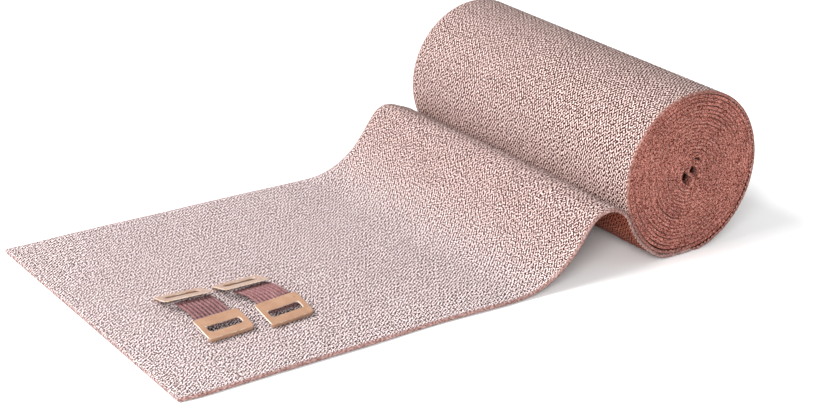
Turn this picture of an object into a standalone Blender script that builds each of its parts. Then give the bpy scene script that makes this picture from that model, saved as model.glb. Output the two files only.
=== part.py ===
"""Short stretch bandage roll with a loose end and its two stretch clips.

Metres, +Z up. The origin is the centre of the model's footprint on the surface it lies on.
X runs along the roll's axis. The loose end runs out towards -Y.
"""
from collections import namedtuple
from math import cos, pi, radians, sin

import bmesh
import bpy
from mathutils import Matrix, Vector

MM = 0.001

# ---- driving dimensions -------------------------------------------------------------------------
FOOTPRINT_LENGTH = 216.9 * MM        # cut end to the back of the roll
FOOTPRINT_WIDTH = 121.9 * MM         # widest place of the loose end
CLOTH_THICKNESS = 1.3 * MM
CLEARANCE = 0.3 * MM                 # air between pieces that touch

ROLL_WIDTH = 120.0 * MM
ROLL_CENTRE_X = 0.75 * MM
ROLL_RADIUS = 27.7 * MM              # back, top and underside
ROLL_AXIS_HEIGHT = 28.2 * MM
ROLL_CENTRE_Y = FOOTPRINT_LENGTH / 2 - ROLL_RADIUS
ROLL_LAYER_STEP = 1.35 * MM          # one layer less on the front
ROLL_STEP_Y = ROLL_CENTRE_Y + 2.8 * MM
ROLL_RIM_ROUNDING = 0.6 * MM
# Angles about the roll's axis in degrees, from +Y upwards and over the top
OUTLINE_START = -84.0                # the step where the outermost layer begins
OUTLINE_SWEEP = 348.0
LAYER_RUN_OUT_START = 110.0          # from here the outline comes in by one layer
LAYER_RUN_OUT_SWEEP = 150.0
FLAT_SPOT_START = -90.0
FLAT_SPOT_SWEEP = 55.0
FLAT_SPOT_BULGE = 0.9 * MM           # how far the outline would pass below the surface, cut level
EYE_PIT_RADIUS = 1.4 * MM
EYE_PIT_DEPTH = 3.0 * MM
EYE_PIT_SIDES = 14
EYE_PIT_OFFSETS = ((-1.7 * MM, -1.2 * MM), (1.5 * MM, 1.3 * MM))

END_Y = -FOOTPRINT_LENGTH / 2
CUT_SKEW = 1.0 * MM                  # the far corner of the cut end lies this much further in
SHEET_COLUMNS = 16

# The two edges of the loose end, in mm: at each distance from the cut end, how far each edge is
# drawn in from the footprint's side. The near edge has a waist just ahead of the hump.
EdgeRow = namedtuple("EdgeRow", "from_cut near_inset far_inset")
EDGE_ROWS = (
    EdgeRow(0.0, 0.8, 0.0),
    EdgeRow(8.0, 0.0, 0.1),
    EdgeRow(34.0, 0.4, 0.3),
    EdgeRow(60.0, 0.5, 0.6),
    EdgeRow(88.0, 1.5, 1.2),
    EdgeRow(116.0, 0.3, 1.6),
    EdgeRow(140.0, 0.2, 1.7),
)

# The fold between the flat cloth and the roll, walked from the foot of the hump to the underside
# of the roll. Lengths in mm, turns in degrees, upwards positive. The flank has no length of its
# own: it is as long as brings the far end of the walk back down to the surface.
FoldRow = namedtuple("FoldRow", "name near_length near_turn far_length far_turn steps")
FOLD_ROWS = (
    FoldRow("foot", 30.0, 53.5, 27.0, 53.5, 9),
    FoldRow("flank", None, 0.0, None, 0.0, 2),
    FoldRow("crest", 16.0, -106.0, 8.0, -75.0, 9),
    FoldRow("back slope", 0.5, 0.0, 7.0, 0.0, 2),
    FoldRow("shoulder", 1.5, -16.0, 8.0, -44.0, 4),
    FoldRow("roll side", 20.0, 37.5, 16.0, 34.5, 7),
    FoldRow("landing", 7.6, None, 7.7, None, 5),
)
FOOT_START_NEAR = ROLL_CENTRE_Y - 71.0 * MM
FOOT_START_FAR = ROLL_CENTRE_Y - 73.0 * MM

# Stretch clips
PLATE_LENGTH = 10.0 * MM
PLATE_WIDTH = 15.8 * MM
PLATE_THICKNESS = 0.8 * MM
PLATE_CORNER = 0.9 * MM
SLOT_LENGTH = 11.8 * MM
SLOT_WIDTH = 3.1 * MM
SLOT_CORNER = 1.1 * MM
SLOT_OFFSET = 0.5 * MM               # out of the plate's middle, towards the lip
LIP_DROP = 0.5 * MM                  # below the plate's underside
LIP_THICKNESS = 0.8 * MM
LIP_END_INSET = 1.1 * MM             # short of the plate's sides, clear of its round corners
LIP_SETBACK = 0.05 * MM              # behind the plate's outer edge
TOOTH_RADIUS = 0.75 * MM
TOOTH_TIP_RADIUS = 0.34 * MM
TOOTH_SIDES = 8
TOOTH_SETBACK = 0.1 * MM             # behind the plate's outer edge
TOOTH_INSET = 1.5 * MM
TOOTH_TIP_HEIGHT = CLOTH_THICKNESS + CLEARANCE
BAND_WIDTH = 12.0 * MM
BAND_CORDS = 9
BAND_THICKNESS = 1.3 * MM
BAND_GROOVE_DEPTH = 0.35 * MM
BAND_CORD_CROWN = 0.56               # share of a cord's width that is its flat crown
BAND_CROWN_HEIGHT = 0.92             # share of the band's half thickness
BAND_SEGMENTS = 8

# Plates: middle in X, distance of the middle from the cut end, turn about Z, and the height of
# the plate's top at its outer and its inner edge. Lengths in mm, turns in degrees.
PlateRow = namedtuple("PlateRow", "clip end side mid_x from_cut turn outer_top inner_top")
PLATE_ROWS = (
    PlateRow("clip_a", "front", 1, 31.1, 31.4, 3.0, 3.1, 5.3),
    PlateRow("clip_a", "rear", -1, 7.1, 30.4, -4.5, 3.1, 5.8),
    PlateRow("clip_b", "front", 1, 32.9, 51.4, 6.0, 3.1, 6.3),
    PlateRow("clip_b", "rear", -1, 9.2, 49.8, -1.0, 3.1, 5.8),
)

# Bands: the middle line's start under the rear plate and its end under the front plate, the
# height of its middle under the plates' inner edges, and how far it arches between them, in mm.
BandRow = namedtuple("BandRow", "clip rear_x rear_from_cut front_x front_from_cut height arch")
BAND_ROWS = (
    BandRow("clip_a", 9.8, 32.4, 28.6, 31.6, 3.1, 0.8),
    BandRow("clip_b", 11.6, 51.6, 30.6, 52.8, 3.1, 1.6),
)


def clear_scene():
    for obj in list(bpy.data.objects):
        bpy.data.objects.remove(obj, do_unlink=True)


def new_collection(name):
    collection = bpy.data.collections.new(name)
    bpy.context.scene.collection.children.link(collection)
    return collection


def new_material(name, colour, roughness, metallic=0.0):
    material = bpy.data.materials.new(name)
    material.use_nodes = True
    shader = material.node_tree.nodes["Principled BSDF"]
    shader.inputs["Base Color"].default_value = (*colour, 1.0)
    shader.inputs["Roughness"].default_value = roughness
    shader.inputs["Metallic"].default_value = metallic
    return material


def take_added(name):
    """The primitive that was just added, named and out of every collection."""
    obj = bpy.context.object
    obj.name = name
    for collection in list(obj.users_collection):
        collection.objects.unlink(obj)
    return obj


def smooth_step(value):
    value = min(1.0, max(0.0, value))
    return value * value * (3.0 - 2.0 * value)


def closed_mesh_from_curve(obj, name):
    """The curve's evaluated shape as a mesh object in its place, with its caps welded on."""
    graph = bpy.context.evaluated_depsgraph_get()
    mesh = bpy.data.meshes.new_from_object(obj.evaluated_get(graph))
    welder = bmesh.new()
    welder.from_mesh(mesh)
    bmesh.ops.remove_doubles(welder, verts=welder.verts, dist=0.00001)
    bmesh.ops.recalc_face_normals(welder, faces=welder.faces)
    welder.to_mesh(mesh)
    welder.free()
    solid = bpy.data.objects.new(name, mesh)
    solid.matrix_world = obj.matrix_world.copy()
    curve = obj.data
    bpy.data.objects.remove(obj, do_unlink=True)
    bpy.data.curves.remove(curve)
    return solid


def flat_outline(name, loops, half_height):
    """A filled 2D curve of closed loops in its local XY plane, half_height thick each way."""
    curve = bpy.data.curves.new(name, "CURVE")
    curve.dimensions = "2D"
    curve.fill_mode = "BOTH"
    curve.extrude = half_height
    for points in loops:
        spline = curve.splines.new("POLY")
        spline.points.add(len(points) - 1)
        for target, (x, y) in zip(spline.points, points):
            target.co = (x, y, 0.0, 1.0)
        spline.use_cyclic_u = True
    obj = bpy.data.objects.new(name, curve)
    bpy.context.scene.collection.objects.link(obj)
    bpy.context.view_layer.update()
    return obj


def rounded_rectangle(length, width, corner, steps, shift=0.0):
    points = []
    for quarter, (sx, sy) in enumerate(((1, 1), (-1, 1), (-1, -1), (1, -1))):
        centre_x = sx * (length / 2 - corner) + shift
        centre_y = sy * (width / 2 - corner)
        for step in range(steps + 1):
            angle = (quarter + step / steps) * pi / 2
            points.append((centre_x + corner * cos(angle), centre_y + corner * sin(angle)))
    return points


def cut(target, cutter, cutters):
    cutters.objects.link(cutter)
    cutter.hide_render = True
    cutter.display_type = "WIRE"
    boolean = target.modifiers.new(cutter.name, "BOOLEAN")
    boolean.operation = "DIFFERENCE"
    boolean.solver = "EXACT"
    boolean.object = cutter


def join(target, addition, cutters):
    cut(target, addition, cutters)
    target.modifiers[-1].operation = "UNION"


def finish(obj, part, material, sharp_degrees=35.0):
    part.objects.link(obj)
    obj.data.materials.clear()
    obj.data.materials.append(material)
    obj.data.shade_smooth()
    obj.data.set_sharp_from_angle(angle=radians(sharp_degrees))


# ---- the wound roll -----------------------------------------------------------------------------
def roll_outline(points=96):
    """The spiral outline about the roll's axis, from the step under it once round to the step."""
    outline = []
    for index in range(points + 1):
        degrees = OUTLINE_START + OUTLINE_SWEEP * index / points
        one_layer_less = smooth_step((degrees - LAYER_RUN_OUT_START) / LAYER_RUN_OUT_SWEEP)
        near_surface = 1.0 - smooth_step((degrees - FLAT_SPOT_START) / FLAT_SPOT_SWEEP)
        radius = ROLL_RADIUS - ROLL_LAYER_STEP * one_layer_less + FLAT_SPOT_BULGE * near_surface
        y = radius * cos(radians(degrees))
        z = radius * sin(radians(degrees))
        outline.append((y, max(z, -ROLL_AXIS_HEIGHT)))
    step_y = ROLL_STEP_Y - ROLL_CENTRE_Y
    under_layer_z = outline[-1][1]
    outline[0] = (step_y, -ROLL_AXIS_HEIGHT)
    outline.append((step_y, under_layer_z))
    return outline


def make_wound_roll(part, cutters, material):
    body_half = ROLL_WIDTH / 2 - ROLL_RIM_ROUNDING
    outline = flat_outline("wound_roll_outline", [roll_outline()], body_half)
    outline.data.bevel_depth = ROLL_RIM_ROUNDING
    outline.data.bevel_resolution = 1
    outline.data.offset = -ROLL_RIM_ROUNDING
    outline.matrix_world = Matrix((
        (0, 0, 1, ROLL_CENTRE_X),
        (1, 0, 0, ROLL_CENTRE_Y),
        (0, 1, 0, ROLL_AXIS_HEIGHT),
        (0, 0, 0, 1),
    ))
    bpy.context.view_layer.update()
    roll = closed_mesh_from_curve(outline, "wound_roll")
    for side in (-1, 1):
        for number, (y, z) in enumerate(EYE_PIT_OFFSETS):
            bpy.ops.mesh.primitive_cylinder_add(
                vertices=EYE_PIT_SIDES,
                radius=EYE_PIT_RADIUS,
                depth=2 * EYE_PIT_DEPTH,
                location=(
                    ROLL_CENTRE_X + side * ROLL_WIDTH / 2,
                    ROLL_CENTRE_Y + y,
                    ROLL_AXIS_HEIGHT + z,
                ),
                rotation=(0, pi / 2, 0),
            )
            pit = take_added(f"eye_pit_{number}_{'near' if side > 0 else 'far'}")
            cut(roll, pit, cutters)
    finish(roll, part, material)


# ---- the loose end ------------------------------------------------------------------------------
def edge_insets(y):
    """How far the near and the far edge are drawn in at this place along the cloth."""
    from_cut = (y - END_Y) / MM
    for before, after in zip(EDGE_ROWS[:-1], EDGE_ROWS[1:]):
        if from_cut < after.from_cut:
            blend = smooth_step((from_cut - before.from_cut) / (after.from_cut - before.from_cut))
            near = before.near_inset + (after.near_inset - before.near_inset) * blend
            far = before.far_inset + (after.far_inset - before.far_inset) * blend
            return near * MM, far * MM
    return EDGE_ROWS[-1].near_inset * MM, EDGE_ROWS[-1].far_inset * MM


def walk_fold(nearness, flank_length):
    """Points (y, z) of the fold's underside, from the foot of the hump to the landing."""
    y = FOOT_START_FAR + (FOOT_START_NEAR - FOOT_START_FAR) * nearness
    z = 0.0
    heading = 0.0
    points = [(y, z)]
    for row in FOLD_ROWS:
        if row.near_length is None:
            length = flank_length
        else:
            length = MM * (row.far_length + (row.near_length - row.far_length) * nearness)
        if row.near_turn is None:
            turn = -heading
        else:
            turn = radians(row.far_turn + (row.near_turn - row.far_turn) * nearness)
        stride = length / row.steps
        for step in range(row.steps):
            middle = heading + turn * (step + 0.5) / row.steps
            y += stride * cos(middle)
            z += stride * sin(middle)
            points.append((y, z))
        heading += turn
    return points


def fold_points(nearness):
    foot = FOLD_ROWS[0]
    slope = radians(foot.far_turn + (foot.near_turn - foot.far_turn) * nearness)
    drop = walk_fold(nearness, 0.0)[-1][1]
    return walk_fold(nearness, -drop / sin(slope))


def sheet_section(nearness, flat_rows, tuck_rows):
    """The underside of the cloth at one place across its width, cut end to inner end."""
    cut_y = END_Y + CUT_SKEW * (1.0 - nearness)
    fold = fold_points(nearness)
    foot_y = fold[0][0]
    section = []
    for row in range(flat_rows):
        section.append((cut_y + (foot_y - cut_y) * row / flat_rows, 0.0))
    section.extend(fold[:-1])
    landing_y = fold[-1][0]
    inner_y = ROLL_STEP_Y - CLEARANCE
    for row in range(tuck_rows + 1):
        section.append((landing_y + (inner_y - landing_y) * row / tuck_rows, 0.0))
    return section


def make_loose_end(part, material):
    verts = []
    sections = []
    for column in range(SHEET_COLUMNS + 1):
        sections.append(sheet_section(column / SHEET_COLUMNS, flat_rows=12, tuck_rows=3))
    rows = len(sections[0])
    for column, section in enumerate(sections):
        nearness = column / SHEET_COLUMNS
        for y, z in section:
            near_inset, far_inset = edge_insets(y)
            near_x = FOOTPRINT_WIDTH / 2 - near_inset
            far_x = far_inset - FOOTPRINT_WIDTH / 2
            verts.append((far_x + (near_x - far_x) * nearness, y, z))
    faces = []
    for column in range(SHEET_COLUMNS):
        for row in range(rows - 1):
            corner = column * rows + row
            faces.append((corner, corner + rows, corner + rows + 1, corner + 1))
    mesh = bpy.data.meshes.new("loose_end")
    mesh.from_pydata(verts, [], faces)
    sheet = bpy.data.objects.new("loose_end", mesh)
    solidify = sheet.modifiers.new("cloth thickness", "SOLIDIFY")
    solidify.thickness = CLOTH_THICKNESS
    solidify.offset = 1.0
    finish(sheet, part, material)


# ---- the stretch clips --------------------------------------------------------------------------
def make_plate(row, empty, part, cutters, material):
    """A slotted plate that slopes down to a lip and two teeth at its outer edge."""
    name = f"{row.clip}_{row.end}_plate"
    loops = [
        rounded_rectangle(PLATE_LENGTH, PLATE_WIDTH, PLATE_CORNER, 3),
        rounded_rectangle(SLOT_WIDTH, SLOT_LENGTH, SLOT_CORNER, 4, SLOT_OFFSET),
    ]
    outline = flat_outline(name + "_outline", loops, PLATE_THICKNESS / 2)
    plate = closed_mesh_from_curve(outline, name)

    lip_height = PLATE_THICKNESS / 2 + LIP_DROP
    bpy.ops.mesh.primitive_cube_add(size=1.0)
    lip = take_added(name + "_lip")
    lip_size = (LIP_THICKNESS, PLATE_WIDTH - 2 * LIP_END_INSET, lip_height)
    lip_x = (PLATE_LENGTH - LIP_THICKNESS) / 2 - LIP_SETBACK
    lip_place = (lip_x, 0.0, -lip_height / 2)
    lip.data.transform(Matrix.Translation(lip_place) @ Matrix.Diagonal((*lip_size, 1.0)))
    additions = [lip]

    tilt = plate_tilt(row)
    middle_top = MM * (row.outer_top + row.inner_top) / 2
    outer_underside = MM * row.outer_top - PLATE_THICKNESS * cos(tilt)
    tooth_length = outer_underside - TOOTH_TIP_HEIGHT + PLATE_THICKNESS / 2
    for side in (-1, 1):
        bpy.ops.mesh.primitive_cone_add(
            vertices=TOOTH_SIDES,
            radius1=TOOTH_TIP_RADIUS,
            radius2=TOOTH_RADIUS,
            depth=tooth_length,
        )
        tooth = take_added(f"{name}_tooth_{'left' if side < 0 else 'right'}")
        lean = Matrix.Rotation(-tilt, 4, "Y")
        root = Vector((
            PLATE_LENGTH / 2 - TOOTH_RADIUS - TOOTH_SETBACK,
            side * (PLATE_WIDTH / 2 - TOOTH_INSET),
            0.0,
        ))
        tooth.data.transform(lean @ Matrix.Translation((0, 0, -tooth_length / 2)))
        tooth.data.transform(Matrix.Translation(root))
        additions.append(tooth)

    for addition in additions:
        join(plate, addition, cutters)
    turn = radians(row.turn) + (pi if row.side < 0 else 0.0)
    for obj in [plate] + additions:
        obj.parent = empty
        obj.rotation_euler = (0.0, tilt, turn)
        obj.location = (
            MM * row.mid_x,
            END_Y + MM * row.from_cut,
            middle_top - PLATE_THICKNESS / 2 * cos(tilt),
        )
    finish(plate, part, material)


def plate_tilt(row):
    """The plate's slope about its own Y axis: the outer edge is the lower one."""
    return (row.inner_top - row.outer_top) * MM / PLATE_LENGTH


def band_profile(name):
    """The band's cross-section, a row of round cords, as a closed flat curve."""
    pitch = BAND_WIDTH / BAND_CORDS
    crown = BAND_THICKNESS / 2 * BAND_CROWN_HEIGHT
    groove = BAND_THICKNESS / 2 - BAND_GROOVE_DEPTH
    shoulder = pitch * (1.0 - BAND_CORD_CROWN) / 2
    top = [(-BAND_WIDTH / 2, 0.0)]
    for cord in range(BAND_CORDS):
        start = -BAND_WIDTH / 2 + cord * pitch
        top.append((start + shoulder, crown))
        top.append((start + pitch - shoulder, crown))
        if cord < BAND_CORDS - 1:
            top.append((start + pitch, groove))
    bottom = [(-x, -y) for x, y in top]
    curve = bpy.data.curves.new(name, "CURVE")
    curve.dimensions = "2D"
    curve.fill_mode = "NONE"
    spline = curve.splines.new("POLY")
    spline.points.add(len(top) + len(bottom) - 1)
    for target, (x, y) in zip(spline.points, top + bottom):
        target.co = (x, y, 0.0, 1.0)
    spline.use_cyclic_u = True
    return bpy.data.objects.new(name, curve)


def make_band(row, empty, part, cutters, material):
    """The ribbed elastic, arched between the two plates and tucked in under both."""
    start = Vector((MM * row.rear_x, END_Y + MM * row.rear_from_cut, 0.0))
    end = Vector((MM * row.front_x, END_Y + MM * row.front_from_cut, 0.0))
    profile = band_profile(row.clip + "_band_profile")
    cutters.objects.link(profile)
    profile.hide_render = True
    profile.display_type = "WIRE"
    curve = bpy.data.curves.new(row.clip + "_band", "CURVE")
    curve.dimensions = "3D"
    curve.twist_mode = "Z_UP"
    curve.bevel_mode = "OBJECT"
    curve.bevel_object = profile
    curve.use_fill_caps = True
    spline = curve.splines.new("POLY")
    spline.points.add(BAND_SEGMENTS)
    for index, target in enumerate(spline.points):
        along = index / BAND_SEGMENTS
        point = start.lerp(end, along)
        point.z = MM * (row.height + row.arch * sin(pi * along))
        target.co = (*point, 1.0)
    path = bpy.data.objects.new(row.clip + "_band_path", curve)
    bpy.context.scene.collection.objects.link(path)
    bpy.context.view_layer.update()
    band = closed_mesh_from_curve(path, row.clip + "_band")
    band.parent = empty
    finish(band, part, material, sharp_degrees=60.0)


def main():
    clear_scene()
    part = new_collection("short stretch bandage roll")
    cutters = new_collection("cutters and guides")
    cloth = new_material("bandage cloth", (0.62, 0.47, 0.45), 0.95)
    rolled = new_material("bandage cloth wound", (0.52, 0.33, 0.29), 0.95)
    lacquer = new_material("clip lacquer", (0.73, 0.44, 0.27), 0.35)
    elastic = new_material("clip elastic", (0.40, 0.20, 0.20), 0.85)

    make_wound_roll(part, cutters, rolled)
    make_loose_end(part, cloth)
    for band_row in BAND_ROWS:
        empty = bpy.data.objects.new(band_row.clip, None)
        part.objects.link(empty)
        for plate_row in PLATE_ROWS:
            if plate_row.clip == band_row.clip:
                make_plate(plate_row, empty, part, cutters, lacquer)
        make_band(band_row, empty, part, cutters, elastic)


main()
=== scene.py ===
from collections import namedtuple
from math import ceil, cos, pi, radians, sin, tau
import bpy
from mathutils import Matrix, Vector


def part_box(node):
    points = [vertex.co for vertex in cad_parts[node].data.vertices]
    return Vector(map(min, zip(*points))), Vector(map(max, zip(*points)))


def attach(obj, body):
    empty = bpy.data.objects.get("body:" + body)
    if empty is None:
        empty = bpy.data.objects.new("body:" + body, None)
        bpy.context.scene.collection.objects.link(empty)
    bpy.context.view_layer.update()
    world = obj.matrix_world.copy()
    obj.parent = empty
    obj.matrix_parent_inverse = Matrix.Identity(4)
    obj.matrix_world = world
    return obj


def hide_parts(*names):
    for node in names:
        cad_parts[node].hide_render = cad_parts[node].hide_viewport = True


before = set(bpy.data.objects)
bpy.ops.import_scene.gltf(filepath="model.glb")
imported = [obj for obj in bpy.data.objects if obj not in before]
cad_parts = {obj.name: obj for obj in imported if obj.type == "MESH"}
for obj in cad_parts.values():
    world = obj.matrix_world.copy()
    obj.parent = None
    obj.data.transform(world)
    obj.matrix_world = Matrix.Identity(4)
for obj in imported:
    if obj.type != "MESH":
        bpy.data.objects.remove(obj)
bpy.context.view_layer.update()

from types import SimpleNamespace

import bmesh
import bpy
import numpy as np
from mathutils import Euler, Matrix, Vector

mm = 0.001
lightLevel = 2.2  # how bright the studio is, so that the pale floor burns out to white
rollLow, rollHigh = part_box("wound_roll")
tailLow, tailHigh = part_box("loose_end")
cutEndY = tailLow[1]
print("frame loaded:", ", ".join(sorted(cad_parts)))


def fromScreen(colour):
    # a colour as it looks in the studio light, 0 to 255, as the linear values that shaders take
    def linear(value):
        value /= 255
        return value / 12.92 if value <= 0.04045 else ((value + 0.055) / 1.055) ** 2.4
    return tuple(linear(value) / lightLevel for value in colour) + (1.0,)


def smoothStep(value):
    value = np.clip(value, 0.0, 1.0)
    return value * value * (3.0 - 2.0 * value)


def hashNumbers(a, b, seed):
    # a repeatable random number from 0 to 1 for each pair of whole numbers
    mixed = np.sin(a * 127.1 + b * 311.7 + seed * 74.7) * 43758.5453
    return mixed - np.floor(mixed)


def slowNoise(place, seed):
    # smooth repeatable wander from -1 to 1, one knot to each whole number
    low = np.floor(place)
    before = hashNumbers(low, np.zeros_like(low), seed)
    after = hashNumbers(low + 1.0, np.zeros_like(low), seed)
    return 2.0 * (before + (after - before) * smoothStep(place - low)) - 1.0


def pathLength(y, z):
    # how far along a path in the YZ plane each of its points lies
    return np.concatenate([[0.0], np.cumsum(np.hypot(np.diff(y), np.diff(z)))])


def rightOf(y, z):
    # unit y and z at right angles to such a path, on its right
    alongY, alongZ = np.gradient(y, axis=0), np.gradient(z, axis=0)
    size = np.hypot(alongY, alongZ)
    return alongZ / size, -alongY / size


def newMesh(name, points, faces, *materials):
    mesh = bpy.data.meshes.new(name)
    mesh.from_pydata(points, [], faces)
    for material in materials:
        mesh.materials.append(material)
    mesh.update()
    return mesh


def addObject(name, data):
    obj = bpy.data.objects.new(name, data)
    bpy.context.scene.collection.objects.link(obj)
    return obj


def addPiece(mesh, node):
    # every piece rides on the one body and stands for its solid
    piece = addObject(mesh.name, mesh)
    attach(piece, "root")
    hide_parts(node)
    print(mesh.name + ":", len(mesh.polygons), "faces")
    return piece


def ringQuads(index):
    # quads between neighbouring rings, index[ring, place], each ring closed
    beside = np.roll(index, -1, axis=1)
    quads = np.stack([index[:-1], beside[:-1], beside[1:], index[1:]], axis=-1)
    return quads.reshape(-1, 4)


def tubeMesh(name, points, flip, material):
    # a skin over rings of points in mm, points[ring, place], with a flat cap at each end
    index = np.arange(points.shape[0] * points.shape[1]).reshape(points.shape[:2])
    skin = ringQuads(index).tolist() + [index[0, ::-1].tolist(), index[-1].tolist()]
    if flip:
        skin = [face[::-1] for face in skin]
    return newMesh(name, (points.reshape(-1, 3) * mm).tolist(), skin, material)


def nodeKit(tree):
    # short ways to add nodes; an input takes a plain value or another node's output
    def fill(sockets, values):
        for key, value in values.items():
            if isinstance(value, bpy.types.NodeSocket):
                tree.links.new(value, sockets[key])
            else:
                sockets[key].default_value = value

    def add(kind, inputs=None, output=0, **settings):
        node = tree.nodes.new(kind)
        for key, value in settings.items():
            setattr(node, key, value)
        fill(node.inputs, inputs or {})
        return node if output is None else node.outputs[output]

    def math(operation, *values, clamp=False):
        inputs = dict(enumerate(values))
        return add("ShaderNodeMath", inputs, operation=operation, use_clamp=clamp)

    def vector(operation, *values, output=0):
        return add("ShaderNodeVectorMath", dict(enumerate(values)), output, operation=operation)

    def scaled(value, scale):
        return add("ShaderNodeVectorMath", {0: value, "Scale": scale}, operation="SCALE")

    def combined(**parts):
        return add("ShaderNodeCombineXYZ", parts)

    def ranged(value, fromLow=0.0, fromHigh=1.0, low=0.0, high=1.0, smooth=False, clamp=True):
        return add(
            "ShaderNodeMapRange", {0: value, 1: fromLow, 2: fromHigh, 3: low, 4: high},
            interpolation_type="SMOOTHSTEP" if smooth else "LINEAR", clamp=clamp)

    def blend(share, first, second):
        return add("ShaderNodeMix", {0: share, 6: first, 7: second}, 2, data_type="RGBA")

    def noise(place, scale, detail, roughness=0.5):
        return add("ShaderNodeTexNoise", {
            "Vector": place, "Scale": scale, "Detail": detail, "Roughness": roughness})

    def bump(height, strength, distance):
        return add("ShaderNodeBump", {
            "Height": height, "Strength": strength, "Distance": distance})

    return SimpleNamespace(
        add=add, fill=fill, math=math, vector=vector, scaled=scaled, combined=combined,
        ranged=ranged, blend=blend, noise=noise, bump=bump)


def newTree(name, treeType, inlets, outlets):
    # a node group with its named inputs; their kind follows from the value they start with
    kinds = {type(None): "Vector", tuple: "Color", float: "Float", int: "Int"}
    tree = bpy.data.node_groups.new(name, treeType)
    for label, value in inlets.items():
        socket = tree.interface.new_socket(
            name=label, in_out="INPUT", socket_type="NodeSocket" + kinds[type(value)])
        if value is not None:
            socket.default_value = value
    for label, kind in outlets.items():
        tree.interface.new_socket(name=label, in_out="OUTPUT", socket_type="NodeSocket" + kind)
    inlet, outlet = tree.nodes.new("NodeGroupInput"), tree.nodes.new("NodeGroupOutput")
    return tree, inlet.outputs, outlet.inputs, nodeKit(tree)


def newMaterial(name, values):
    material = bpy.data.materials.new(name)
    material.use_nodes = True
    shader = material.node_tree.nodes["Principled BSDF"].inputs
    kit = nodeKit(material.node_tree)
    kit.fill(shader, values)
    return material, shader, kit


# shader groups that the materials share
def weaveGroup():
    # a dark pit to each cell, a fainter one half a cell on, light crowns of thread round both; the
    # pits and hollows are darker partly from the redder yarn and partly as painted shade
    group, inlet, outlet, kit = newTree("bandageWeave", "ShaderNodeTree", {
        "Cells": None, "Cell Width": 2.35, "Cell Length": 1.51,
        "Crown": (0.9, 0.8, 0.8, 1), "Hollow": (0.5, 0.4, 0.4, 1), "Pit": (0.1, 0.05, 0.05, 1),
        "Pit Fineness": 1.0, "Deep Pits": 1.0, "Faint Pits": 0.6, "Crowns": 0.45,
        "Ribs": 0.3, "Cross Ribs": 0.1, "Fibres": 0.9, "Streaks": 0.5,
    }, {"Colour": "Color", "Height": "Float", "Pits": "Float"})
    cells = inlet["Cells"]
    cellSize = kit.scaled(
        kit.combined(X=inlet["Cell Width"], Y=inlet["Cell Length"]), inlet["Pit Fineness"])

    def pits(places, lean, longHalf, shortHalf, amount, shallowest, deepest):
        # 1 at the middle of each leaning oval and 0 outside, and a ring of 1 just round it
        chance = kit.add(
            "ShaderNodeTexWhiteNoise", {"Vector": kit.vector("FLOOR", places)},
            noise_dimensions="2D")
        centred = kit.vector("SUBTRACT", kit.vector("FRACTION", places), (0.5, 0.5, 0.0))
        turned = kit.add(
            "ShaderNodeVectorRotate",
            {"Vector": kit.vector("MULTIPLY", centred, cellSize), "Angle": radians(lean)},
            rotation_type="Z_AXIS")
        oval = kit.vector("MULTIPLY", turned, (1 / longHalf, 1 / shortHalf, 0.0))
        reach = kit.vector("LENGTH", oval, output="Value")
        depth = kit.math("MULTIPLY", kit.ranged(chance, 0, 1, shallowest, deepest), amount)
        mask = kit.math("MULTIPLY", kit.ranged(reach, 1.3, 0.85, smooth=True), depth, clamp=True)
        return mask, kit.ranged(reach, 2.1, 1.3, smooth=True)

    halfOn = kit.vector("ADD", cells, (0.5, 0.5, 0.0))
    deepMask, deepRing = pits(halfOn, 52, 0.56, 0.29, inlet["Deep Pits"], 0.85, 1.15)
    faintMask, faintRing = pits(cells, -50, 0.52, 0.24, inlet["Faint Pits"], 0.6, 1.2)
    fibres = kit.noise(kit.vector("MULTIPLY", cells, (1.0, 0.66, 1.0)), 5.0, 0.6, 0.6)
    fibreTone = kit.ranged(fibres, 0.32, 0.68, -0.5, 0.5, clamp=False)
    crowned = kit.math("MULTIPLY_ADD", fibreTone, inlet["Fibres"], 0.31)
    # diagonal ribs, two to a cell across, and others leaning the other way
    for slope, amount in ((tau, "Ribs"), (-tau, "Cross Ribs")):
        place = kit.vector("DOT_PRODUCT", cells, (2 * tau, slope, 0.0), output="Value")
        wave = kit.math("MULTIPLY", kit.math("COSINE", place), inlet[amount])
        crowned = kit.math("SUBTRACT", crowned, wave)
    rings = kit.math("MULTIPLY", kit.math("MAXIMUM", deepRing, faintRing), inlet["Crowns"])
    crowned = kit.math("ADD", rings, crowned, clamp=True)
    # the hollow and pit colours are partly the redder yarn and partly painted shade in the weave's
    # recesses
    colour = kit.blend(crowned, inlet["Hollow"], inlet["Crown"])
    colour = kit.blend(faintMask, colour, inlet["Pit"])
    colour = kit.blend(deepMask, colour, inlet["Pit"])
    # slow drifts of tone, and long streaks that run with the cloth
    streaked = kit.vector("MULTIPLY", cells, (0.9, 0.035, 1.0))
    drift, streak = (
        kit.ranged(tone, 0.3, 0.7, -0.5, 0.5)
        for tone in (kit.noise(cells, 0.09, 3.0, 0.55), kit.noise(streaked, 1.0, 2.0)))
    tone = kit.math("MULTIPLY", kit.math("ADD", drift, streak), inlet["Streaks"])
    tone = kit.math("MULTIPLY_ADD", tone, 0.16, 1.0)
    height = kit.math("MULTIPLY_ADD", faintMask, -0.6, kit.math("MULTIPLY", deepMask, -1.0))
    kit.fill(outlet, {
        "Colour": kit.scaled(colour, tone),
        "Height": kit.math("MULTIPLY_ADD", fibres, 0.5, height),
        "Pits": deepMask,
    })
    return group


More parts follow.
